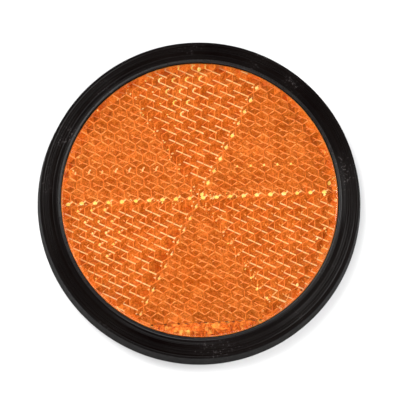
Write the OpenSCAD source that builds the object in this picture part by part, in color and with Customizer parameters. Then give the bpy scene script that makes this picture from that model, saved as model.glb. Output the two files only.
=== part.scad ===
// Round retroreflector, 60 mm across: an amber acrylic lens whose rear face is
// moulded as a star of six fields of full cube corners, welded to a plain back
// plate, gripped all round by a black rubber rim ring, with a round foam
// adhesive pad on the back. It lies on the pad, lens up.
// Origin: centre of the pad's underside. +Z: out of the lens. All in mm.

/* [Overall] */
// Outside diameter of the rubber rim ring at its foot
outer_d = 60; // [56:1:68]
// Width of the visible ring, from its foot to the window
ring_w = 4.6; // [4.3:0.1:5.2]

/* [Lens] */
// Thickness of the clear face in front of the prisms
face_t = 1.8; // [1.4:0.1:2.6]
// Centre to centre distance of the cube corners
pitch = 2.49; // [2.0:0.01:3.0]
// Turn of the six-field star about the axis
star_turn = 3.0; // [0:0.1:30]
// Distance of the star's centre from the lens axis
star_shift = 0.42; // [0:0.02:1.0]
// Width of the plain land at the bottom of the window, where the star is cut off straight
land_w = 2.7; // [0:0.1:6]
// Thickness of the skirt that is welded to the back plate
skirt_t = 0.8; // [0.6:0.1:1.0]

/* [Back] */
// Thickness of the back plate
plate_t = 1.2; // [1.0:0.1:2.0]
// Sealed air gap between the prism tips and the back plate
air_gap = 0.76; // [0.6:0.02:1.2]
// Diameter of the adhesive pad
pad_d = 45; // [36:1:46]
// Thickness of the adhesive pad
pad_t = 0.9; // [0.8:0.1:1.5]

/* [Rim ring] */
// Height of the lip's crest over the lens face
lip_rise = 0.42; // [0.3:0.02:0.8]
// How far the pad stands below the ring's foot
pad_proud = 0.3; // [0.2:0.05:0.5]
// Lean of the ring's outer wall, from foot to shoulder
wall_lean = 0.5; // [0.3:0.05:0.5]
// Radius of the ring's shoulder
shoulder_r = 0.7; // [0.5:0.05:0.7]

/* [Hidden] */
$fn = 96;

R = outer_d / 2;
win_r = R - ring_w;                    // visible edge of the lens
unit_r = R - 2.6;                      // outside of the welded lens and plate
seat = 0.05;                           // radial play between the unit and the ring
step = pitch / sqrt(6);                // height of one level of a cube corner: edge / sqrt(3)
corner = pitch / sqrt(3);              // cell centre to cell corner, in plan
z_plate = pad_t;                       // underside of the back plate
z_weld = pad_t + plate_t;              // plate top, foot of the lens skirt
z_apex = z_weld + air_gap;             // tips of the prisms
z_l1 = z_apex + step;
z_l2 = z_apex + 2 * step;              // rear of the clear face
z_face = z_l2 + face_t;                // front of the lens
flange = 0.5;                          // depth of the rebate that the lip sits in
z_flange = z_face - flange;
z_foot = pad_proud;                    // underside of the rubber ring
field_r = unit_r - skirt_t - star_shift - 0.1; // reach of the prism star from its centre
spigot_r = unit_r - skirt_t - 0.08;    // outside of the rib that registers the skirt

// ---- prism star: full cube corners in six equal fields --------------------
// One field, between the directions 0 and 60 degrees, is the cells c(i, j) with
// i, j >= 0. Each cell is a hexagon in plan: its tip is at the centre, three
// corners are one level up and three are two levels up. The next field is the
// mirror image of the last, which is the same as its copy turned by 60 degrees.
function cx(i, j) = pitch * (1 + i + j / 2);
function cy(i, j) = pitch * (1 / sqrt(3) + j * sqrt(3) / 2);
function has(i, j) = i >= 0 && j >= 0
    && norm([cx(i, j), cy(i, j)]) + corner <= field_r;
reach = ceil(field_r / pitch) + 1;
cells = [for (i = [0:reach], j = [0:reach]) if (has(i, j)) [i, j]];
lid = z_l2 + 0.35;                     // the star is rooted this high in the clear face

function turn(p, a) = [p[0] * cos(a) - p[1] * sin(a), p[0] * sin(a) + p[1] * cos(a), p[2]];
function at(i, j, k, z) = [cx(i, j) + corner * cos(30 + 60 * k), cy(i, j) + corner * sin(30 + 60 * k), z];
function level(k) = k % 2 == 0 ? z_l1 : z_l2;

// has this side of a cell no neighbour? (side k runs from corner k to corner k + 1)
function open_side(i, j, k) =
    k == 0 ? !has(i, j + 1) :
    k == 1 ? (i > 0 ? !has(i - 1, j + 1) : !has(0, j + 1)) :
    k == 2 ? (i > 0 ? !has(i - 1, j) : false) :
    k == 3 ? (j > 0 ? !has(i, j - 1) : false) :
    k == 4 ? (j > 0 ? !has(i + 1, j - 1) : !has(i + 1, 0)) :
             !has(i + 1, j);

// faces as lists of points, wound clockwise seen from outside the solid
function cell_faces(i, j) = let (tip = [cx(i, j), cy(i, j), z_apex])
    concat(
        // the three square faces of the cube corner, each in two triangles
        [for (k = [0:5]) [tip, at(i, j, k, level(k)), at(i, j, k + 1, level(k + 1))]],
        [[for (k = [5:-1:0]) at(i, j, k, lid)]],
        [for (k = [0:5]) if (open_side(i, j, k))
            [at(i, j, k, lid), at(i, j, k + 1, lid), at(i, j, k + 1, level(k + 1)), at(i, j, k, level(k))]]
    );
// the half faces that close each field along its two edges
function seam_faces(m) = let (
        a = [m * pitch, 0], b = [(m + 1) * pitch, 0], c = [(m + 0.5) * pitch, corner / 2],
        p = [a, b, c])
    concat(
        [[for (q = [p[0], p[1], p[2]]) [q[0], q[1], q == c ? z_l2 : z_l1]]],
        [[for (q = [p[2], p[1], p[0]]) [q[0], q[1], lid]]]
    );
function flip60(f) = [for (n = [len(f) - 1:-1:0]) let (q = f[n])
    [q[0] * cos(60) + q[1] * sin(60), q[0] * sin(60) - q[1] * cos(60), q[2]]];

seams = [for (m = [0:reach]) if (has(m, 0)) m];
// a seam's outer end is open where the next cell along the edge is missing
field = concat(
    [for (c = cells) each cell_faces(c[0], c[1])],
    [for (m = seams) each seam_faces(m)],
    [for (m = seams) each [for (f = seam_faces(m)) flip60(f)]]
);
star = [for (s = [0:5]) each [for (f = field) [for (q = f) turn(q, 60 * s + star_turn)]]];
sx = star_shift * cos(111);
sy = star_shift * sin(111);
function last(v) = v[len(v) - 1];
function starts(f, n = 0, acc = [0]) = n >= len(f) ? acc : starts(f, n + 1, concat(acc, [last(acc) + len(f[n])]));

module prism_star() {
    pts = [for (f = star) each [for (q = f) [q[0] + sx, q[1] + sy, q[2]]]];
    first = starts(star);
    polyhedron(points = pts,
        faces = [for (n = [0:len(star) - 1]) [for (v = [0:len(star[n]) - 1]) first[n] + v]],
        convexity = 8);
}

// the land is as deep as the prisms, and rooted in the clear face and the skirt
module land() {
    translate([0, 0, z_apex - 0.02]) linear_extrude(z_l2 - z_apex + 0.12) intersection() {
        circle(r = unit_r - skirt_t + 0.1);
        rotate(star_turn) translate([-unit_r, -2 * unit_r - win_r + land_w]) square(2 * unit_r);
    }
}

// ---- the four pieces -------------------------------------------------------
module lens() {
    color([0.92, 0.40, 0.10]) union() {
        rotate_extrude() polygon([
            [0, z_l2], [unit_r - skirt_t, z_l2], [unit_r - skirt_t, z_weld],
            [unit_r, z_weld], [unit_r, z_flange], [win_r - 0.02, z_flange],
            [win_r - 0.02, z_face - 0.12], [win_r - 0.14, z_face], [0, z_face]
        ]);
        prism_star();
        land();
    }
}

module back_plate() {
    color([0.09, 0.085, 0.08]) rotate_extrude() polygon([
        [0, z_plate], [unit_r - 0.25, z_plate], [unit_r, z_plate + 0.25], [unit_r, z_weld],
        [spigot_r, z_weld], [spigot_r, z_weld + 0.35], [spigot_r - 0.12, z_weld + 0.47],
        [spigot_r - 0.6, z_weld + 0.47], [spigot_r - 0.7, z_weld + 0.37], [spigot_r - 0.7, z_weld],
        [0, z_weld]
    ]);
}

// rounded corner of the ring's section: centre, radius, from angle a to angle b
function arc(c, r, a, b, n = 5) = [for (t = [0:n]) let (q = a + (b - a) * t / n) [c[0] + r * cos(q), c[1] + r * sin(q)]];

module rim_ring() {
    top = z_face + lip_rise;
    pan = z_face - 0.02;               // floor of the shallow channel outside the lip
    crown = z_face + 0.20;             // crest of the outer shoulder
    color([0.10, 0.09, 0.085]) rotate_extrude() polygon(concat(
        [[win_r + 0.12, z_flange]],
        // lip: a steep inner wall, a rounded crest and a second, lower bead
        arc([win_r + 0.50, top - 0.38], 0.38, 180, 62, 7),
        [[win_r + 0.80, top - 0.13]],
        arc([win_r + 1.00, top - 0.32], 0.22, 120, 30, 5),
        // shallow channel
        arc([win_r + 1.78, pan + 0.50], 0.50, 218, 285, 6),
        // two fine ridges, then the round shoulder
        [[R - 2.20, pan + 0.03]], arc([R - 2.07, pan + 0.04], 0.10, 165, 15, 4),
        [[R - 1.86, pan + 0.06], [R - 1.74, pan + 0.07]], arc([R - 1.61, pan + 0.09], 0.10, 165, 15, 4),
        arc([R - wall_lean - shoulder_r, crown - shoulder_r], shoulder_r, 110, 6, 13),
        // outer wall and foot
        arc([R - 0.40, z_foot + 0.60], 0.40, 6, -60, 11),
        [[R - 0.45, z_foot], [pad_d / 2 + 1.9, z_foot], [pad_d / 2 + 1.6, z_foot + 0.2],
         [pad_d / 2 + 1.6, z_plate], [unit_r + seat, z_plate], [unit_r + seat, z_flange]]
    ));
}

module adhesive_pad() {
    color([0.16, 0.16, 0.16]) cylinder(h = pad_t, r = pad_d / 2);
}

lens();
back_plate();
rim_ring();
adhesive_pad();
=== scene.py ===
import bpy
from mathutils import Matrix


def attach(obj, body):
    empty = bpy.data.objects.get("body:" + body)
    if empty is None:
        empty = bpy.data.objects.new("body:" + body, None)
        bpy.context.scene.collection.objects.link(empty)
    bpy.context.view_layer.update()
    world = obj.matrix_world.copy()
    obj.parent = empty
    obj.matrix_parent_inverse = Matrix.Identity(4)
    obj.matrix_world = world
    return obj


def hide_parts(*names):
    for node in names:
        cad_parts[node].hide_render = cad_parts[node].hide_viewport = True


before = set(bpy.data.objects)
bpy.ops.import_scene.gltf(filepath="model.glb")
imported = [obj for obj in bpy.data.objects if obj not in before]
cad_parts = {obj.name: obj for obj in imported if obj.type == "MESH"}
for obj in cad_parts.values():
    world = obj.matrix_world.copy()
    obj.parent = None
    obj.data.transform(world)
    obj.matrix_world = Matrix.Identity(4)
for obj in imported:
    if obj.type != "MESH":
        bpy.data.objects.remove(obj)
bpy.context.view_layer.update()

import math
import random

import bmesh
import bpy
from mathutils import Matrix, Vector
from mathutils.geometry import delaunay_2d_cdt

MM = 0.001

# ---- sizes, in mm, as in the part's source ---------------------------------
R = 30.0
WIN = 25.4                      # visible edge of the lens
UNIT = 27.4
SEAT = 0.05
PAD_R, PAD_T = 22.5, 0.9
P = 2.49                        # prism pitch
CORNER = P / math.sqrt(3)
STEP = P / math.sqrt(6)
TURN = 3.0
SHIFT = 0.42
Z_PLATE = 0.9
Z_WELD = 2.1
Z_APEX = Z_WELD + 0.76
Z_L2 = Z_APEX + 2 * STEP
Z_FACE = Z_L2 + 1.8
Z_FLANGE = Z_FACE - 0.5
SKIRT_IN = UNIT - 0.8
Z_FOOT = 0.3
SLOPE = 2 * STEP / CORNER
SC = (SHIFT * math.cos(math.radians(111)), SHIFT * math.sin(math.radians(111)))
CHORD = -(WIN - 2.7)            # below this the whole cells end, parallel to their rows


def direction(a):
    return math.cos(math.radians(a)), math.sin(math.radians(a))


# ---- camera, at the photograph's angle -------------------------------------
def make_camera():
    th, ph, dist = math.radians(8.4), math.radians(262.4), 700.0
    target = Vector((0.06, 0.0, 6.0))
    z = Vector((math.sin(th) * math.cos(ph), math.sin(th) * math.sin(ph), math.cos(th)))
    x = Vector((0, 1, 0)).cross(z).normalized()
    y = z.cross(x)
    at = (target + dist * z) * MM
    data = bpy.data.cameras.new("camera")
    data.sensor_width = 36.0
    data.lens = 341.5
    data.clip_start, data.clip_end = 0.01, 50.0
    cam = bpy.data.objects.new("camera", data)
    bpy.context.scene.collection.objects.link(cam)
    cam.matrix_world = Matrix(((x.x, y.x, z.x, at.x), (x.y, y.y, z.y, at.y), (x.z, y.z, z.z, at.z), (0, 0, 0, 1)))
    bpy.context.scene.camera = cam


make_camera()


# ---- materials --------------------------------------------------------------
def srgb(r, g, b):
    def one(c):
        c /= 255.0
        return c / 12.92 if c <= 0.04045 else ((c + 0.055) / 1.055) ** 2.4
    return (one(r), one(g), one(b), 1.0)


class Mat:
    """A material with a Principled shader and short ways to add procedural nodes to it."""

    def __init__(self, name, **values):
        self.m = bpy.data.materials.new(name)
        self.m.use_nodes = True
        self.t = self.m.node_tree
        self.p = next(n for n in self.t.nodes if n.type == "BSDF_PRINCIPLED")
        for k, v in values.items():
            self.p.inputs[k.replace("_", " ")].default_value = v
        self.coord = self.t.nodes.new("ShaderNodeTexCoord").outputs["Object"]

    def link(self, a, b):
        self.t.links.new(a, b)

    def scaled(self, vec):
        n = self.t.nodes.new("ShaderNodeMapping")
        n.inputs["Scale"].default_value = vec
        self.link(self.coord, n.inputs["Vector"])
        return n.outputs["Vector"]

    def noise(self, scale, detail=3.0, rough=0.55, vec=None, distortion=0.0):
        n = self.t.nodes.new("ShaderNodeTexNoise")
        n.inputs["Scale"].default_value = scale
        n.inputs["Detail"].default_value = detail
        n.inputs["Roughness"].default_value = rough
        n.inputs["Distortion"].default_value = distortion
        self.link(vec or self.coord, n.inputs["Vector"])
        return n.outputs["Fac"]

    def voronoi(self, scale, out="Distance", feature="F1", vec=None):
        n = self.t.nodes.new("ShaderNodeTexVoronoi")
        n.feature = feature
        n.inputs["Scale"].default_value = scale
        self.link(vec or self.coord, n.inputs["Vector"])
        return n.outputs[out]

    def ramp(self, fac, stops, interp="LINEAR"):
        n = self.t.nodes.new("ShaderNodeValToRGB")
        n.color_ramp.interpolation = interp
        e = n.color_ramp.elements
        while len(e) < len(stops):
            e.new(0.5)
        for k, (pos, col) in enumerate(stops):
            e[k].position = pos
            e[k].color = col if len(col) == 4 else (*col, 1)
        self.link(fac, n.inputs["Fac"])
        return n.outputs["Color"]

    def range(self, fac, a, b, c, d):
        n = self.t.nodes.new("ShaderNodeMapRange")
        for k, v in zip(("From Min", "From Max", "To Min", "To Max"), (a, b, c, d)):
            n.inputs[k].default_value = v
        self.link(fac, n.inputs["Value"])
        return n.outputs["Result"]

    def mix(self, fac, a, b):
        n = self.t.nodes.new("ShaderNodeMix")
        n.data_type = "RGBA"
        if isinstance(fac, float):
            n.inputs["Factor"].default_value = fac
        else:
            self.link(fac, n.inputs["Factor"])
        for k, v in (("A", a), ("B", b)):
            sock = [s for s in n.inputs if s.name == k and s.type == "RGBA"][0]
            if isinstance(v, tuple):
                sock.default_value = v
            else:
                self.link(v, sock)
        return [s for s in n.outputs if s.type == "RGBA"][0]

    def math(self, op, a, b=0.0):
        n = self.t.nodes.new("ShaderNodeMath")
        n.operation = op
        for k, v in ((0, a), (1, b)):
            if isinstance(v, (int, float)):
                n.inputs[k].default_value = v
            else:
                self.link(v, n.inputs[k])
        return n.outputs[0]

    def bump(self, height, strength, distance, normal=None):
        n = self.t.nodes.new("ShaderNodeBump")
        n.inputs["Strength"].default_value = strength
        n.inputs["Distance"].default_value = distance
        self.link(height, n.inputs["Height"])
        if normal is not None:
            self.link(normal, n.inputs["Normal"])
        return n.outputs["Normal"]

    def set(self, name, out):
        self.link(out, self.p.inputs[name])
        return self


def amber_zone(name, low, mid, high, scale, rough=0.32, metal=0.0, spots=None):
    """The rear of the lens as seen through its face: a mottled amber, scale in 1/m."""
    m = Mat(name, Metallic=metal, IOR=1.49)
    m.p.inputs["Specular IOR Level"].default_value = 0.12
    n = m.math("ADD", m.math("MULTIPLY", m.noise(scale, 3.0, 0.6), 0.45), m.math("MULTIPLY", m.noise(scale * 2.3, 2.0, 0.6), 0.55))
    n = m.math("ADD", m.math("MULTIPLY", n, 0.8), m.math("MULTIPLY", m.noise(scale * 0.26, 1.0, 0.5), 0.2))
    col = m.ramp(n, [(0.41, low), (0.50, mid), (0.60, high)])
    # painted glints: scattered cells blended towards a pale colour
    if spots:
        cells = m.voronoi(spots[0], "Color")
        sep = m.t.nodes.new("ShaderNodeSeparateColor")
        m.link(cells, sep.inputs["Color"])
        col = m.mix(m.range(sep.outputs[0], spots[2], 1.0, 0.0, 0.85), col, spots[1])
    m.set("Base Color", col)
    m.set("Roughness", m.range(m.noise(scale * 1.7, 2.0), 0.3, 0.7, rough - 0.07, rough + 0.1))
    return m.m


def make_glass():
    m = Mat("amber_face", Roughness=0.03, IOR=1.49)
    m.p.inputs["Base Color"].default_value = (0.985, 0.95, 0.90, 1.0)
    m.p.inputs["Transmission Weight"].default_value = 1.0
    height = m.noise(160.0, 2.0, 0.5)
    m.set("Normal", m.bump(height, 0.10, 0.00004))
    return m.m


GLASS = make_glass()
FIELD_A = amber_zone("prism_field_bright", srgb(168, 78, 8), srgb(204, 109, 31), srgb(238, 144, 58), 1500.0)
FIELD_B = amber_zone("prism_field_dark", srgb(168, 81, 10), srgb(204, 114, 38), srgb(238, 148, 66), 1500.0)
# painted shade: darker copies of the two field ambers, for the facet on one side of each tip
A_LOW = amber_zone("prism_field_bright_shade", srgb(168, 74, 6), srgb(200, 96, 22), srgb(228, 122, 42), 1500.0)
B_LOW = amber_zone("prism_field_dark_shade", srgb(164, 80, 8), srgb(194, 102, 26), srgb(222, 126, 46), 1500.0)
# painted highlights: the edge and tip materials below are light ambers and yellows that stand for light glinting off
# the prism edges and tips
DASH = amber_zone("prism_edge_painted_glint", srgb(255, 212, 134), srgb(255, 230, 166), srgb(255, 242, 194), 900.0, 0.25)
LINE = amber_zone("prism_edge_painted_highlight", srgb(246, 156, 78), srgb(255, 176, 98), srgb(255, 192, 118), 1100.0, 0.3)
SOFT = amber_zone("prism_edge_painted_highlight_low", srgb(226, 128, 50), srgb(242, 146, 66), srgb(255, 164, 86), 1100.0, 0.3)
FAINT = amber_zone("prism_edge_painted_highlight_faint", srgb(222, 122, 46), srgb(242, 144, 64), srgb(255, 164, 84), 1100.0, 0.3)
WARM = amber_zone("prism_edge_painted_highlight_warm", srgb(255, 172, 84), srgb(255, 198, 112), srgb(255, 220, 146), 900.0, 0.28)
SPOT = amber_zone("prism_glint", srgb(255, 240, 118), srgb(255, 248, 152), srgb(255, 252, 200), 900.0, 0.2)
# the crushed facets below the last row: a lighter amber with painted glints in pale yellow cells
RIM = amber_zone("prism_rim_with_painted_glints", srgb(196, 88, 24), srgb(240, 134, 52), srgb(255, 164, 74), 1300.0, 0.3,
                 spots=(1500.0, srgb(255, 216, 112), 0.80))
# painted light: a lighter amber for the outermost facets, making up for the shade the lip casts on them
EDGE = amber_zone("prism_field_edge_painted_light", srgb(214, 104, 22), srgb(244, 140, 46), srgb(255, 170, 76), 1500.0)
# painted shade: a dark amber for the notches by the rim and at the end of the last row
DARK = amber_zone("prism_notch_painted_shade", srgb(86, 36, 12), srgb(118, 56, 22), srgb(150, 74, 32), 1500.0, 0.35)
BODY = amber_zone("amber_body", srgb(232, 120, 36), srgb(248, 142, 50), srgb(255, 160, 66), 220.0, 0.3)


def make_rubber(name="black_rubber", level=0.036, rough=(0.12, 0.24)):
    m = Mat(name, IOR=1.45)
    m.p.inputs["Specular IOR Level"].default_value = level
    fine = m.noise(900.0, 4.0, 0.6)
    broad = m.noise(70.0, 3.0, 0.5)
    base = m.mix(m.range(broad, 0.3, 0.7, 0.0, 1.0), srgb(3, 1, 1), srgb(9, 6, 5))
    # dust and scuffs, in loose groups
    dust = m.math("MULTIPLY", m.range(m.noise(2600.0, 2.0, 0.6), 0.60, 0.68, 0.0, 1.0), m.range(m.noise(130.0, 1.0, 0.5), 0.56, 0.68, 0.0, 1.0))
    m.set("Base Color", m.mix(dust, base, srgb(48, 44, 44)))
    m.set("Roughness", m.range(m.math("ADD", m.math("MULTIPLY", fine, 0.5), m.math("MULTIPLY", broad, 0.5)), 0.3, 0.7, *rough))
    # turned lines left by the mould: rings about the axis
    sep = m.t.nodes.new("ShaderNodeSeparateXYZ")
    m.link(m.coord, sep.inputs["Vector"])
    r = m.math("SQRT", m.math("ADD", m.math("POWER", sep.outputs["X"], 2.0), m.math("POWER", sep.outputs["Y"], 2.0)))
    rings = m.t.nodes.new("ShaderNodeTexNoise")
    rings.noise_dimensions = "1D"
    rings.inputs["Scale"].default_value = 7000.0
    rings.inputs["Detail"].default_value = 2.0
    m.link(r, rings.inputs["W"])
    n1 = m.bump(rings.outputs["Fac"], 0.14, 0.00003)
    m.set("Normal", m.bump(fine, 0.22, 0.00003, n1))
    return m.m


def make_plastic():
    m = Mat("black_plastic", IOR=1.49)
    n = m.noise(2600.0, 3.0, 0.6)
    m.set("Base Color", m.mix(m.range(m.noise(120.0), 0.3, 0.7, 0.0, 1.0), srgb(30, 29, 28), srgb(40, 38, 37)))
    m.set("Roughness", m.range(n, 0.3, 0.7, 0.42, 0.62))
    m.set("Normal", m.bump(n, 0.4, 0.00004))
    return m.m


def make_foam():
    m = Mat("foam_tape", IOR=1.45)
    pores = m.voronoi(2600.0)
    m.set("Base Color", m.mix(m.range(m.noise(260.0, 4.0), 0.3, 0.7, 0.0, 1.0), srgb(52, 52, 53), srgb(70, 70, 71)))
    m.set("Roughness", m.range(pores, 0.1, 0.6, 0.95, 0.75))
    m.set("Normal", m.bump(pores, 0.6, 0.00008))
    return m.m


def make_tack():
    m = Mat("adhesive_skin", IOR=1.47)
    n = m.noise(340.0, 5.0, 0.6, distortion=0.8)
    m.set("Base Color", m.mix(m.range(n, 0.35, 0.65, 0.0, 1.0), srgb(58, 58, 60), srgb(84, 84, 86)))
    m.set("Roughness", m.range(n, 0.3, 0.7, 0.16, 0.4))
    m.set("Normal", m.bump(m.noise(1100.0, 3.0), 0.3, 0.00006))
    return m.m


RUBBER, PLASTIC, FOAM, TACK = make_rubber(), make_plastic(), make_foam(), make_tack()
RUBBER_WALL = make_rubber("black_rubber_wall", 0.011, (0.40, 0.58))
RUBBER_LIP = make_rubber("black_rubber_lip", 0.17, (0.20, 0.36))


# ---- the prism star as a height field ---------------------------------------
def to_field(x, y):
    """Field number and the point in that field's own frame."""
    x, y = x - SC[0], y - SC[1]
    a = (math.degrees(math.atan2(y, x)) - TURN) % 360.0
    s = int(a // 60.0) % 6
    c, d = direction(-(60 * s + TURN))
    return s, x * c - y * d, x * d + y * c


def from_field(s, x, y):
    c, d = direction(60 * s + TURN)
    return x * c - y * d + SC[0], x * d + y * c + SC[1]


ROW = P * math.sqrt(3) / 2


def centre(i, j):
    return P * (1 + i + j / 2), CORNER + j * ROW


def near_centres(x, y):
    j0 = round((y - CORNER) / ROW)
    out = []
    for j in (j0 - 1, j0, j0 + 1):
        i0 = round(x / P - 1 - j / 2)
        for i in (i0 - 1, i0, i0 + 1):
            cx, cy = centre(i, j)
            out.append(((x - cx) ** 2 + (y - cy) ** 2, i, j))
    out.sort()
    return out


L2_DIRS = [direction(a) for a in (90, 210, 330)]


def cell_height(x, y, i, j, h=0.20):
    cx, cy = centre(i, j)
    v = sorted((SLOPE * ((x - cx) * a + (y - cy) * b) for a, b in L2_DIRS), reverse=True)
    soft = max(0.0, h - (v[0] - v[1]))
    return Z_APEX + v[0] + soft * soft / (4 * h)


def lattice_height(x, y, h=0.20):
    c = near_centres(x, y)
    z = sorted(cell_height(x, y, i, j) for _, i, j in c[:3])
    soft = max(0.0, h - (z[1] - z[0])) if z[1] - z[0] < h else 0.0
    return max(Z_APEX, min(Z_L2, cell_height(x, y, c[0][1], c[0][2]) - soft * soft / (4 * h)))


def height_over_chord(x, y):
    c, d = direction(TURN)
    return y * c - x * d - CHORD


def centre_ok(s, cx, cy):
    """Does the cell with this centre show in the window, above the chord?"""
    gx, gy = from_field(s, cx, cy)
    return math.hypot(gx, gy) <= EDGE_R + CORNER and height_over_chord(gx, gy) > -CORNER * 0.4


def in_wedge(x, y, slack=1e-6):
    return y >= -slack and (y * math.cos(math.radians(60)) - x * math.sin(math.radians(60))) <= slack


EDGE_R = 25.60                  # the window as far as it can be seen under the lip


def clip_wedge(a, b):
    """The part of segment a-b inside the field's wedge, in its own frame, or None."""
    t0, t1 = 0.0, 1.0
    n = [(0.0, 1.0), (math.sin(math.radians(60)), -math.cos(math.radians(60)))]
    for nx, ny in n:
        da, db = a[0] * nx + a[1] * ny, b[0] * nx + b[1] * ny
        if da < -1e-9 and db < -1e-9:
            return None
        if da < 0 <= db:
            t0 = max(t0, da / (da - db))
        elif db < 0 <= da:
            t1 = min(t1, da / (da - db))
    if t1 - t0 < 1e-6:
        return None
    at = lambda t: (a[0] + t * (b[0] - a[0]), a[1] + t * (b[1] - a[1]))
    return at(t0), at(t1)


def clip_circle(a, b, r=EDGE_R):
    dx, dy = b[0] - a[0], b[1] - a[1]
    A = dx * dx + dy * dy
    B = a[0] * dx + a[1] * dy
    C = a[0] ** 2 + a[1] ** 2 - r * r
    disc = B * B - A * C
    if A < 1e-12 or disc <= 0:
        return None
    q = math.sqrt(disc)
    t0, t1 = max(0.0, (-B - q) / A), min(1.0, (-B + q) / A)
    if t1 - t0 < 1e-4:
        return None
    return (a[0] + t0 * dx, a[1] + t0 * dy), (a[0] + t1 * dx, a[1] + t1 * dy)


SEGMENTS = 192
verts2, edges2 = [], []
strips = []                     # (ax, ay, bx, by, half width, material index)
spots = []                      # (x, y, rx, ry, angle, material index)

(M_GLASS, M_A, M_B, M_DASH, M_LINE, M_FAINT, M_SPOT, M_RIM, M_BODY, M_SOFT, M_WARM, M_A_LOW, M_B_LOW,
 M_DARK, M_EDGE) = range(15)


def constraint(a, b):
    n = len(verts2)
    verts2.extend((a, b))
    edges2.append((n, n + 1))


def add_line(a, b):
    c = clip_circle(a, b)
    if c:
        constraint(*c)


def add_strip(a, b, half, mat):
    """A narrow face that follows an edge of the prisms, in the part's frame, coloured as a painted highlight, or with
    the notch material as a painted shade.
    """
    c = clip_circle(a, b, EDGE_R - 0.05)
    if not c:
        return
    a, b = c
    if mat != M_DARK and height_over_chord((a[0] + b[0]) / 2, (a[1] + b[1]) / 2) < 0.1:
        return
    dx, dy = b[0] - a[0], b[1] - a[1]
    length = math.hypot(dx, dy)
    if length < 0.12:
        return
    ux, uy = dx / length, dy / length
    nx, ny = -uy * half, ux * half
    tip = min(half * 0.8, length * 0.2)
    ring = [(a[0], a[1]), (a[0] + ux * tip + nx, a[1] + uy * tip + ny), (b[0] - ux * tip + nx, b[1] - uy * tip + ny),
            (b[0], b[1]), (b[0] - ux * tip - nx, b[1] - uy * tip - ny), (a[0] + ux * tip - nx, a[1] + uy * tip - ny)]
    for k in range(6):
        constraint(ring[k], ring[(k + 1) % 6])
    strips.append((a[0], a[1], b[0], b[1], half, tip, mat))


# a small oval face that carries a painted glint
def add_spot(x, y, rx, ry, angle, mat, rng):
    if math.hypot(x, y) > EDGE_R - rx - 0.1:
        return
    c, s = direction(angle)
    ring = []
    for k in range(8):
        a = 2 * math.pi * (k + 0.5) / 8
        w = 1 + 0.16 * rng.uniform(-1, 1)
        u, v = rx * w * math.cos(a), ry * w * math.sin(a)
        ring.append((x + u * c - v * s, y + u * s + v * c))
    for k in range(8):
        constraint(ring[k], ring[(k + 1) % 8])
    spots.append((ring, mat))


def inside(ring, x, y):
    hit = False
    for k in range(len(ring)):
        (x0, y0), (x1, y1) = ring[k], ring[k - 1]
        if (y0 > y) != (y1 > y) and x < (x1 - x0) * (y - y0) / (y1 - y0) + x0:
            hit = not hit
    return hit


def in_strip(s, x, y):
    ax, ay, bx, by, half, tip, _ = s
    dx, dy = bx - ax, by - ay
    length = math.hypot(dx, dy)
    t = ((x - ax) * dx + (y - ay) * dy) / length
    if t < 0 or t > length:
        return False
    d = abs((x - ax) * dy - (y - ay) * dx) / length
    return d <= half * min(1.0, t / tip, (length - t) / tip) + 1e-4


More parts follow.
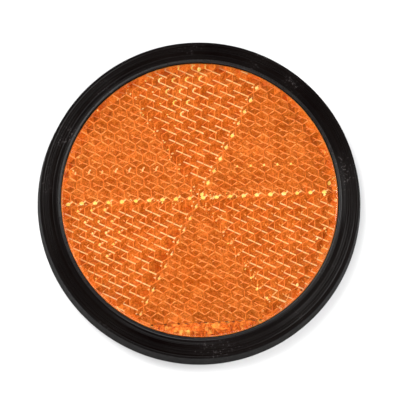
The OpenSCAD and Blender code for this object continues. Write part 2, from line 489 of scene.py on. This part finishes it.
def build_pattern():
    rng = random.Random(7)
    # circles: the lens wall, and the edge of what can be seen
    for r, n in ((SKIRT_IN, SEGMENTS), (EDGE_R, SEGMENTS)):
        ring = [(r * math.cos(2 * math.pi * k / n), r * math.sin(2 * math.pi * k / n)) for k in range(n)]
        for k in range(n):
            constraint(ring[k], ring[(k + 1) % n])
    # the six spokes
    for s in range(6):
        add_line(from_field(s, 0, 0), from_field(s, 27.0, 0))
    drawn = set()
    for s in range(6):
        bright = s % 2 == 1
        for i in range(-2, 12):
            for j in range(-2, 12):
                cx, cy = centre(i, j)
                if not centre_ok(s, cx, cy):
                    continue
                corners = [(cx + CORNER * direction(30 + 60 * k)[0], cy + CORNER * direction(30 + 60 * k)[1]) for k in range(6)]
                if not any(in_wedge(*q, slack=-1e-3) for q in corners + [(cx, cy)]):
                    continue
                # ridges from the tip to the three low corners, and the outline
                segs = [((cx, cy), corners[k], "ridge", k) for k in (0, 2, 4)]
                segs += [(corners[k], corners[(k + 1) % 6], "rim", k) for k in range(6)]
                for a, b, kind, k in segs:
                    c = clip_wedge(a, b)
                    if not c:
                        continue
                    key = (s,) + tuple(sorted(((round(c[0][0], 3), round(c[0][1], 3)), (round(c[1][0], 3), round(c[1][1], 3)))))
                    if key in drawn:
                        continue
                    drawn.add(key)
                    ga, gb = from_field(s, *c[0]), from_field(s, *c[1])
                    add_line(ga, gb)
                    ang = math.degrees(math.atan2(gb[1] - ga[1], gb[0] - ga[0])) % 180.0
                    along, rising = abs(ang - 153.2) < 5, abs(ang - 33.2) < 5
                    if kind == "rim" and not bright:
                        # painted highlights on the outlines: one set shows best, and another is brighter in its middle
                        if along or rising or s == 2 or rng.random() < 0.5:
                            half = 0.105 if along else 0.100 if s == 2 else 0.082 if rising else 0.066
                            add_strip(ga, gb, half, M_LINE if along else M_SOFT)
                        if rising and rng.random() < 0.85:
                            u0, u1 = 0.22 + 0.14 * rng.random(), 0.86 - 0.14 * rng.random()
                            add_strip((ga[0] + (gb[0] - ga[0]) * u0, ga[1] + (gb[1] - ga[1]) * u0),
                                      (ga[0] + (gb[0] - ga[0]) * u1, ga[1] + (gb[1] - ga[1]) * u1), 0.090, M_LINE)
                    elif kind == "rim" and bright and not along:
                        # the two sets of edges that don't glint get a faint painted highlight
                        add_strip(ga, gb, 0.085, M_FAINT)
                if not in_wedge(cx, cy, slack=-1e-3):
                    continue
                gx, gy = from_field(s, cx, cy)
                if bright:
                    # painted glints on the glinting set: from the tip through a low corner to the next high one
                    ux, uy = direction(330 + TURN)
                    far = (gx + 2 * CORNER * ux, gy + 2 * CORNER * uy)
                    c, d = direction(-(60 * s + TURN))
                    lx, ly = (far[0] - SC[0]) * c - (far[1] - SC[1]) * d, (far[0] - SC[0]) * d + (far[1] - SC[1]) * c
                    if in_wedge(lx, ly, slack=0.05):
                        t0 = 0.02 - 0.05 * rng.random()
                        t1 = 2 * CORNER + {1: 0.38, 3: 0.32, 5: -0.04}[s] - 0.10 * rng.random()
                        mid = CORNER + 0.02
                        half = 0.108 + 0.012 * rng.uniform(-1, 1)
                        gap = rng.choice((0.01, 0.02, 0.04))
                        for u, v in ((t0, mid - gap), (mid + gap, t1)):
                            add_strip((gx + u * ux, gy + u * uy), (gx + v * ux, gy + v * uy), half, M_DASH)
                        if s == 5 or (s == 3 and rng.random() < 0.9):
                            # painted highlight: the far side of the tip carries the line on, more steeply
                            vx, vy = direction(143.0)
                            size = 0.50 + 0.12 * rng.random()
                            off = rng.choice((0.05, 0.08, 0.14))
                            add_strip((gx + off * vx, gy + off * vy), (gx + size * vx, gy + size * vy), 0.105, M_WARM if s == 5 else M_LINE)
                        # a fainter painted highlight up and to the right from its start
                        vx, vy = direction(33.0)
                        size = 1.15 + 0.25 * rng.random()
                        add_strip((gx + 0.16 * vx, gy + 0.10 + 0.16 * vy), (gx + size * vx, gy + 0.10 + size * vy), 0.095, M_FAINT)
                        if s != 1 and rng.random() < 0.6:
                            add_strip((gx + 0.05, gy + 0.10), (gx + 0.05 + 0.45 * vx, gy + 0.12 + 0.45 * vy), 0.085, M_WARM)
                    # painted glints where the light comes back best: the tips themselves show as hooks, or blobs at the
                    # edge of that patch
                    left, right = -9.9 + (22.2 - gy) * 0.625, 2.35 - (24.05 - gy) * 0.565
                    if s == 1 and gy > 13.6 and left - 0.5 < gx < right and rng.random() < 0.97:
                        k = 0.74 + 0.10 * rng.uniform(-1, 1)
                        pts = [(0.06, 0.02), (-0.11, 0.34), (-0.01, 0.60), (0.26, 0.80), (0.72, 0.88)]
                        if gx < left + 0.9 or gy < 14.8:
                            pts = [(-0.06, 0.30), (0.02, 0.62)]
                        for n, (a, b) in enumerate(zip(pts, pts[1:])):
                            add_strip((gx + a[0] * k, gy + a[1] * k), (gx + b[0] * k, gy + b[1] * k), (0.17, 0.17, 0.15, 0.12)[n], M_SPOT)
                        if gy > 23.2 and -2.0 < gx < 1.0:
                            add_spot(gx + 0.20, gy + 0.45, 0.62, 0.34, 5.0, M_SPOT, rng)
                            add_spot(gx + 1.35, gy - 0.15, 0.42, 0.34, 70.0, M_SPOT, rng)
                    left = -22.9 + (-2.3 - gy) * 0.67
                    right = -16.6 + (-2.3 - gy) * 0.63 if gy > -6.6 else -14.2 - (-6.3 - gy) * 0.53
                    if s == 3 and gy > -11.5 and left < gx < right:
                        k = 1.0 + 0.2 * rng.uniform(-1, 1)
                        add_spot(gx - 0.02, gy + 0.34, 0.25 * k, 0.20 * k, 60.0, M_SPOT, rng)
                        if rng.random() < 0.6:
                            add_strip((gx + 0.28, gy + 0.52), (gx + 0.66, gy + 0.68), 0.10, M_DASH)
                else:
                    # painted highlights on the tip's own ridge, and a painted reflection of it across the cell
                    ux, uy = direction(153.2)
                    a0, b0 = 0.82 + 0.08 * rng.uniform(-1, 1), 1.20 + 0.10 * rng.uniform(-1, 1)
                    add_strip((gx + a0 * ux, gy + a0 * uy), (gx - b0 * ux, gy - b0 * uy), 0.100, M_LINE)
                    vx, vy = direction(213.2)
                    if rng.random() < 0.92:
                        add_strip((gx + 0.04 * vx, gy + 0.04 * vy), (gx + 0.74 * vx, gy + 0.74 * vy), 0.090, M_LINE)
                    # one row in each upper field has brighter painted glints
                    if s == 2 and abs(gy - (5.95 - (gx + 20.0) * 0.01)) < 1.05 and gx < -5.8:
                        add_strip((gx - 0.20, gy - 0.12), (gx - 0.06, gy + 0.50), 0.15, M_DASH)
                        if rng.random() < 0.7:
                            add_strip((gx - 0.08, gy + 0.44), (gx + 0.26, gy + 0.70), 0.13, M_DASH)
                    if s == 0 and abs(gy - (7.4 + (gx - 6.5) * 0.05)) < 1.05 and 5.0 < gx < 17.2:
                        add_spot(gx - 0.02, gy + 0.05, 0.24, 0.20, 60.0, M_SPOT, rng)
    # painted glints where the fields meet
    for a, phase, off, rx, ry, mat in (
            (3.2, 0.33, 0.12, 0.40, 0.31, M_SPOT), (183.2, -0.32, -0.12, 0.40, 0.31, M_SPOT),
            (63.2, 0.39, -0.15, 0.35, 0.30, M_SPOT), (243.2, -0.37, 0.22, 0.27, 0.23, M_SPOT),
            (123.2, -0.06, -0.50, 0.15, 0.27, M_DASH), (303.2, 0.08, 0.50, 0.15, 0.27, M_DASH)):
        ux, uy = direction(a - 3.2 + TURN)
        for m in range(0, 11):
            d = (m + phase) * P
            if not 0.3 < d < 25.0:
                continue
            d += 0.06 * rng.uniform(-1, 1)
            k = 1 + 0.14 * rng.uniform(-1, 1)
            x, y = SC[0] + ux * d - uy * off, SC[1] + uy * d + ux * off
            add_spot(x, y, rx * k, ry * k, 3.2 if a in (3.2, 183.2) else a, mat, rng)
            if a in (3.2, 183.2):
                add_strip((x + 0.26, y + 0.14), (x + 0.82, y + 0.46), 0.105, M_DASH)
                if rng.random() < 0.6:
                    add_strip((x - 0.30, y - 0.20), (x - 0.75, y - 0.42), 0.075, M_WARM)
            elif a in (63.2, 243.2):
                add_strip((x + 0.02, y + 0.24), (x + 0.30, y + 0.52), 0.075, M_DASH)
                add_spot(x - 0.78, y + 0.10, 0.13, 0.20, 80.0, M_DASH, rng)
                if rng.random() < 0.6:
                    add_spot(x - 0.45, y + 0.85, 0.12, 0.16, 80.0, M_DASH, rng)
    # painted glints on stray facets along the two seams that run up to the left and down to the right, and near the
    # middle
    for base, spread, count, lo, hi in ((123.2, 0.55, 30, 1.5, 24.5), (303.2, 0.55, 26, 1.5, 23.5), (183.2, 0.8, 26, 2.0, 24.0), (3.2, 0.6, 14, 1.0, 8.0)):
        for _ in range(count):
            d, w = rng.uniform(lo, hi), rng.uniform(-spread, spread) + 0.15
            c, e = direction(base)
            x, y = SC[0] + c * d - e * w, SC[1] + e * d + c * w
            q, g = direction(rng.uniform(20, 80))
            size = rng.uniform(0.18, 0.45)
            add_strip((x, y), (x + size * q, y + size * g), rng.uniform(0.06, 0.12), rng.choice((M_DASH, M_SPOT, M_WARM)))
    # stray marks by the rim: painted glints, and dark notches in painted shade
    for _ in range(150):
        a = rng.uniform(0, 360)
        r = rng.uniform(23.5, 25.2)
        c, e = direction(a)
        q, g = direction(a + rng.choice((0, 40, 90, 140)) + rng.uniform(-15, 15))
        size = rng.uniform(0.25, 0.7)
        low = 185 < a < 350
        mat = rng.choice((M_DARK, M_WARM, M_RIM, M_SPOT) if low else (M_WARM, M_RIM, M_FAINT, M_SPOT))
        if mat == M_DARK and rng.random() < 0.5:
            continue
        if rng.random() < (0.9 if low or a > 345 or a < 12 else 0.45):
            add_strip((r * c, r * e), (r * c + size * q, r * e + size * g), rng.uniform(0.07, 0.16), mat)
    # the larger painted glints by the rim, on the right and lower right
    for x, y, size in ((24.0, 3.4, 0.45), (23.1, 1.2, 0.30), (23.1, -5.1, 0.30), (21.7, -7.0, 0.30), (18.0, -15.6, 0.34),
                       (10.6, -16.4, 0.36), (12.4, -18.0, 0.28), (9.5, -14.3, 0.26)):
        add_spot(x, y, size, size * 0.75, 60.0, M_SPOT, rng)
    # painted highlights on the outline of one cell beside the rim
    for a, b, mat in (((13.43, -17.52), (14.15, -16.88), M_WARM), ((13.46, -17.69), (15.95, -18.80), M_DASH),
                      ((16.52, -17.33), (15.97, -18.50), M_WARM)):
        add_strip(a, b, 0.10, mat)
    # the last row ends in a row of small dark notches in painted shade, then crushed facets down to the rim
    c, e = direction(TURN)
    for k in range(-8, 9):
        x = k * P / 2 + 0.1 * rng.uniform(-1, 1)
        if rng.random() < (0.95 if x > -2.2 else 0.5):
            gx, gy = x * c - CHORD * e, x * e + CHORD * c
            add_strip((gx - 0.30 * c, gy - 0.30 * e), (gx + 0.30 * c, gy + 0.30 * e), 0.12, M_DARK)
    add_line((-11.5 * c - CHORD * e, -11.5 * e + CHORD * c), (11.5 * c - CHORD * e, 11.5 * e + CHORD * c))
    crush = {}
    for gy in range(-70, -50):
        for gx in range(-36, 37):
            x = gx * 0.37 + 0.15 * rng.uniform(-1, 1)
            y = gy * 0.37 + 0.15 * rng.uniform(-1, 1)
            z = rng.random()
            if math.hypot(x, y) > EDGE_R - 0.1 or height_over_chord(x, y) > -0.1:
                continue
            verts2.append((x, y))
            crush[(round(x, 4), round(y, 4))] = Z_L2 - 0.05 - 0.9 * z
    return crush


def make_lens():
    crush = build_pattern()
    out = delaunay_2d_cdt([Vector(v) for v in verts2], edges2, [], 0, 2e-4)
    pts, tris = out[0], out[2]
    heights = []
    for v in pts:
        x, y = v.x, v.y
        r = math.hypot(x, y)
        if r > EDGE_R - 0.01:
            heights.append(Z_L2)
            continue
        s, fx, fy = to_field(x, y)
        if height_over_chord(x, y) > 0.02:
            heights.append(lattice_height(fx, fy))
        else:
            heights.append(crush.get((round(x, 4), round(y, 4)), Z_L2 - 0.3))
    # which strip or spot is each face in? a coarse grid keeps the search short
    grid = {}
    for k, s in enumerate(strips):
        ax, ay, bx, by, half = s[:5]
        for gx in range(math.floor(min(ax, bx) - half), math.floor(max(ax, bx) + half) + 1):
            for gy in range(math.floor(min(ay, by) - half), math.floor(max(ay, by) + half) + 1):
                grid.setdefault((gx, gy), []).append(k)
    spot_grid = {}
    for k, (ring, mat) in enumerate(spots):
        for gx in range(math.floor(min(q[0] for q in ring)), math.floor(max(q[0] for q in ring)) + 1):
            for gy in range(math.floor(min(q[1] for q in ring)), math.floor(max(q[1] for q in ring)) + 1):
                spot_grid.setdefault((gx, gy), []).append(k)
    bm = bmesh.new()
    vs = [bm.verts.new((p.x, p.y, z)) for p, z in zip(pts, heights)]
    for t in tris:
        x = sum(pts[k].x for k in t) / 3
        y = sum(pts[k].y for k in t) / 3
        r = math.hypot(x, y)
        mat = M_BODY
        if r < EDGE_R:
            s, fx, fy = to_field(x, y)
            c = near_centres(fx, fy)[0]
            # the crushed facets below the chord take the rim amber with its painted glints
            if height_over_chord(x, y) < 0:
                mat = M_RIM
            else:
                # painted shade: the facet on one side of each tip is coloured darker
                tx, ty = from_field(s, *centre(c[1], c[2]))
                a = math.degrees(math.atan2(y - ty, x - tx)) % 360.0
                odd = (math.sin(12.9898 * c[1] + 78.233 * c[2] + 37.7 * s) * 43758.5453) % 1.0
                near = math.hypot(x - tx, y - ty) < (0.36 + 0.12 * odd) * P
                if s % 2:
                    low = (a > 333 or a < 33) if odd < 0.35 else (a > 275 or a < 33)
                    mat = M_A_LOW if near and low and odd < 0.85 else M_A
                else:
                    low = 213 < a < 333 if odd < 0.6 else 243 < a < 333
                    mat = M_B_LOW if near and (low and odd < 0.85 or odd > 0.95) else M_B
                # painted light: the lip keeps some light from the outermost facets, so they are coloured lighter to
                # make up for it
                if r > 24.2 + 0.7 * odd:
                    mat = M_EDGE
            # a face inside a strip or spot takes its painted highlight, glint or shade
            g = (math.floor(x), math.floor(y))
            best = [strips[k][6] for k in grid.get(g, ()) if in_strip(strips[k], x, y)]
            best += [spots[k][1] for k in spot_grid.get(g, ()) if inside(spots[k][0], x, y)]
            for want in (M_SPOT, M_DASH, M_WARM, M_DARK, M_LINE, M_RIM, M_SOFT, M_FAINT):
                if want in best:
                    mat = want
                    break
        f = bm.faces.new([vs[k] for k in t])
        f.material_index = mat
    # walls, flange and polished front
    def ring(r, z):
        return [bm.verts.new((r * math.cos(2 * math.pi * k / SEGMENTS), r * math.sin(2 * math.pi * k / SEGMENTS), z)) for k in range(SEGMENTS)]
    rings = [(SKIRT_IN, Z_L2, M_BODY), (SKIRT_IN, Z_WELD, M_BODY), (UNIT, Z_WELD, M_BODY), (UNIT, Z_FLANGE, M_BODY),
             (WIN - 0.02, Z_FLANGE, M_BODY), (WIN - 0.02, Z_FACE - 0.12, M_GLASS), (WIN - 0.05, Z_FACE - 0.035, M_GLASS),
             (WIN - 0.14, Z_FACE, M_GLASS)]
    rings += [(r, Z_FACE, M_GLASS) for r in (24.6, 22.0, 18.0, 13.0, 8.0, 4.0)]
    made = [ring(r, z) for r, z, _ in rings]
    for a, b, (_, _, mat) in zip(made, made[1:], rings[1:]):
        for k in range(SEGMENTS):
            q = (k + 1) % SEGMENTS
            bm.faces.new((a[k], a[q], b[q], b[k])).material_index = mat
    hub = bm.verts.new((0, 0, Z_FACE))
    for k in range(SEGMENTS):
        bm.faces.new((made[-1][k], made[-1][(k + 1) % SEGMENTS], hub)).material_index = M_GLASS
    bmesh.ops.remove_doubles(bm, verts=bm.verts, dist=1e-4)
    bmesh.ops.dissolve_degenerate(bm, edges=bm.edges, dist=1e-5)
    bmesh.ops.triangulate(bm, faces=[f for f in bm.faces if len(f.verts) > 3])
    bmesh.ops.recalc_face_normals(bm, faces=bm.faces)
    open_edges = sum(1 for e in bm.edges if len(e.link_faces) != 2)
    print("lens faces", len(bm.faces), "open or shared edges", open_edges)
    bmesh.ops.scale(bm, vec=(MM, MM, MM), verts=bm.verts)
    return finish_mesh(bm, "lens_prisms", [GLASS, FIELD_A, FIELD_B, DASH, LINE, FAINT, SPOT, RIM, BODY, SOFT, WARM, A_LOW, B_LOW, DARK, EDGE])


def finish_mesh(bm, name, mats, smooth=False):
    me = bpy.data.meshes.new(name)
    bm.to_mesh(me)
    bm.free()
    for m in mats:
        me.materials.append(m)
    me.polygons.foreach_set("use_smooth", [smooth] * len(me.polygons))
    ob = bpy.data.objects.new(name, me)
    bpy.context.scene.collection.objects.link(ob)
    return ob


# ---- turned pieces -----------------------------------------------------------
def arc(c, r, a, b, n):
    return [(c[0] + r * math.cos(math.radians(a + (b - a) * t / n)), c[1] + r * math.sin(math.radians(a + (b - a) * t / n))) for t in range(n + 1)]


def revolve(name, profile, n, mats, pick, wobble=None, smooth=True):
    """A closed section turned about Z; wobble(r, z, angle) gives small changes to a point."""
    bm = bmesh.new()
    grid = []
    for k in range(n):
        a = 2 * math.pi * k / n
        row = []
        for r, z in profile:
            if wobble:
                dr, dz = wobble(r, z, a)
            else:
                dr = dz = 0.0
            row.append(bm.verts.new(((r + dr) * math.cos(a) * MM, (r + dr) * math.sin(a) * MM, (z + dz) * MM)))
        grid.append(row)
    m = len(profile)
    for k in range(n):
        q = (k + 1) % n
        for t in range(m):
            u = (t + 1) % m
            f = bm.faces.new((grid[k][t], grid[q][t], grid[q][u], grid[k][u]))
            f.material_index = pick(profile[t], profile[u])
    bmesh.ops.recalc_face_normals(bm, faces=bm.faces)
    ob = finish_mesh(bm, name, mats, smooth)
    return ob


def ring_profile():
    top, pan, crown = Z_FACE + 0.42, Z_FACE - 0.02, Z_FACE + 0.20
    lean, sr = 0.5, 0.7
    p = [(WIN + 0.12, Z_FLANGE), (WIN + 0.12, Z_FLANGE + 0.25)]
    p += arc((WIN + 0.50, top - 0.385), 0.38, 180, 62, 16)
    p += [(WIN + 0.80, top - 0.13)]
    p += arc((WIN + 1.00, top - 0.32), 0.22, 120, 30, 10)
    p += arc((WIN + 1.78, pan + 0.50), 0.50, 218, 285, 10)
    p += [(R - 2.40, pan + 0.022), (R - 2.20, pan + 0.03)]
    p += arc((R - 2.07, pan + 0.04), 0.10, 165, 15, 8)
    p += [(R - 1.86, pan + 0.06), (R - 1.74, pan + 0.07)]
    p += arc((R - 1.61, pan + 0.09), 0.10, 165, 15, 8)
    p += arc((R - lean - sr, crown - sr), sr, 110, 6, 22)
    for k in range(1, 14):
        t = k / 14
        a, b = (R - lean - sr + sr * math.cos(math.radians(6)), crown - sr + sr * math.sin(math.radians(6))), (R - 0.40 + 0.40 * math.cos(math.radians(6)), Z_FOOT + 0.60 + 0.40 * math.sin(math.radians(6)))
        p.append((a[0] + (b[0] - a[0]) * t, a[1] + (b[1] - a[1]) * t))
    p += arc((R - 0.40, Z_FOOT + 0.60), 0.40, 6, -60, 11)
    p += [(R - 0.45, Z_FOOT), (27.0, Z_FOOT), (PAD_R + 1.9, Z_FOOT), (PAD_R + 1.6, Z_FOOT + 0.2),
          (PAD_R + 1.6, Z_PLATE), (UNIT + SEAT, Z_PLATE), (UNIT + SEAT, Z_FLANGE)]
    return p


def slow(a, *terms):
    return sum(h * math.sin(n * a + p) for n, h, p in terms)


def ring_wobble(r, z, a):
    """The soft edge of moulded rubber: the fine ridges come and go round the ring."""
    if z < Z_FACE - 0.3 or r > R - 1.3 or r < WIN + 0.7:
        return 0.0, 0.0
    if r > R - 2.3:
        dz = 0.018 * slow(a, (3, 0.5, 0.7 + r), (7, 0.3, 2.1 * r), (16, 0.2, 5.0 * r)) - 0.012
    elif r > WIN + 1.3:
        dz = 0.012 * slow(a, (5, 0.5, 1.3), (11, 0.5, 4.0 * r))
    else:
        dz = 0.010 * slow(a, (4, 0.6, 0.4), (13, 0.4, 3.0 * r)) - 0.010
    return 0.0, dz


def pad_profile():
    p = [(0.6, 0.0)]
    p += [(r, 0.0) for r in (4, 8, 12, 15, 18, 20, 21.5, 22.2)]
    p += [(PAD_R - 0.06, 0.0), (PAD_R - 0.005, 0.05), (PAD_R - 0.03, 0.15), (PAD_R - 0.07, 0.30), (PAD_R - 0.09, 0.45),
          (PAD_R - 0.07, 0.60), (PAD_R - 0.03, 0.75), (PAD_R - 0.005, 0.86), (PAD_R - 0.04, PAD_T)]
    p += [(r, PAD_T) for r in (21.5, 18, 12, 6, 0.6)]
    return p


def make_pad():
    n = 180
    rng = random.Random(11)
    prof = pad_profile()
    jitter = [[rng.uniform(0, 0.05) for _ in range(len(prof))] for _ in range(n)]
    bm = bmesh.new()
    grid = []
    for k in range(n):
        a = 2 * math.pi * k / n
        row = []
        for t, (r, z) in enumerate(prof):
            dr = -jitter[k][t] if 0.1 < z < 0.8 else 0.0
            row.append(bm.verts.new(((r + dr) * math.cos(a) * MM, (r + dr) * math.sin(a) * MM, z * MM)))
        grid.append(row)
    m = len(prof)
    for k in range(n):
        q = (k + 1) % n
        for t in range(m - 1):
            f = bm.faces.new((grid[k][t], grid[q][t], grid[q][t + 1], grid[k][t + 1]))
            z0, z1 = prof[t][1], prof[t + 1][1]
            f.material_index = 1 if (z0 == z1 == 0.0 or z0 == z1 == PAD_T) else 0
    for row, z in ((0, 0.0), (m - 1, PAD_T)):
        hub = bm.verts.new((0, 0, z * MM))
        for k in range(n):
            bm.faces.new((grid[k][row], grid[(k + 1) % n][row], hub)).material_index = 1
    bmesh.ops.recalc_face_normals(bm, faces=bm.faces)
    return finish_mesh(bm, "foam_pad", [FOAM, TACK])


lens = make_lens()
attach(lens, "root")
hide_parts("lens")

def ring_zone(a, b):
    """The outer wall, foot and inner gap are dull, the crest of the lip catches the light."""
    if min(a[0], b[0]) > R - 0.62 or max(a[1], b[1]) < Z_FOOT + 1.2 or max(a[0], b[0]) < WIN + 0.24:
        return 1
    return 2 if max(a[0], b[0]) < WIN + 0.84 else 0


rim = revolve("rubber_ring", ring_profile(), 360, [RUBBER, RUBBER_WALL, RUBBER_LIP], ring_zone, ring_wobble)
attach(rim, "root")
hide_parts("rim_ring")

pad = make_pad()
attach(pad, "root")
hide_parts("adhesive_pad")

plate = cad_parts["back_plate"]
plate.data.materials.clear()
plate.data.materials.append(PLASTIC)


# ---- floor and light -----------------------------------------------------------
def make_floor():
    me = bpy.data.meshes.new("floor")
    s = 1.5
    me.from_pydata([(-s, -s, 0), (s, -s, 0), (s, s, 0), (-s, s, 0)], [], [(0, 1, 2, 3)])
    m = Mat("floor_paper", Roughness=0.8)
    m.set("Base Color", m.mix(m.range(m.noise(30.0), 0.3, 0.7, 0.0, 1.0), (0.54, 0.54, 0.54, 1), (0.56, 0.56, 0.56, 1)))
    me.materials.append(m.m)
    ob = bpy.data.objects.new("floor", me)
    bpy.context.scene.collection.objects.link(ob)


make_floor()


def area(name, azimuth, elevation, dist, size, power, aim=(0, 0, 0.003)):
    a, e = math.radians(azimuth), math.radians(elevation)
    d = Vector((math.cos(e) * math.cos(a), math.cos(e) * math.sin(a), math.sin(e)))
    data = bpy.data.lights.new(name, "AREA")
    data.shape = "RECTANGLE"
    data.size, data.size_y = size
    data.energy = power
    ob = bpy.data.objects.new(name, data)
    ob.location = Vector(aim) + d * dist
    ob.rotation_mode = "QUATERNION"
    ob.rotation_quaternion = (-d).to_track_quat("-Z", "Y")
    bpy.context.scene.collection.objects.link(ob)


area("key", 130, 68, 0.9, (0.30, 0.30), 7.5)
area("fill_right", 12, 34, 1.0, (0.35, 0.5), 5.0)
area("fill_low", 255, 36, 1.1, (0.8, 0.35), 6.0)

world = bpy.data.worlds.new("studio")
bpy.context.scene.world = world
world.use_nodes = True
wt = world.node_tree
bg = next(n for n in wt.nodes if n.type == "BACKGROUND")
tc = wt.nodes.new("ShaderNodeTexCoord")
sp = wt.nodes.new("ShaderNodeSeparateXYZ")
wt.links.new(tc.outputs["Generated"], sp.inputs["Vector"])
rmp = wt.nodes.new("ShaderNodeValToRGB")
# pale walls all round, a brighter band above them, and a dark ceiling that the flat faces mirror
rmp.color_ramp.elements[0].position = 0.52
rmp.color_ramp.elements[0].color = (0.36, 0.36, 0.37, 1)
rmp.color_ramp.elements[1].position = 0.62
rmp.color_ramp.elements[1].color = (1, 1, 1, 1)
for pos, v in ((0.80, 1.0), (0.90, 0.012)):
    e = rmp.color_ramp.elements.new(pos)
    e.color = (v, v, v, 1)
wt.links.new(sp.outputs["Z"], rmp.inputs["Fac"])
wt.links.new(rmp.outputs["Color"], bg.inputs["Color"])
bg.inputs["Strength"].default_value = 3.0

bpy.context.scene.view_settings.view_transform = "Standard"
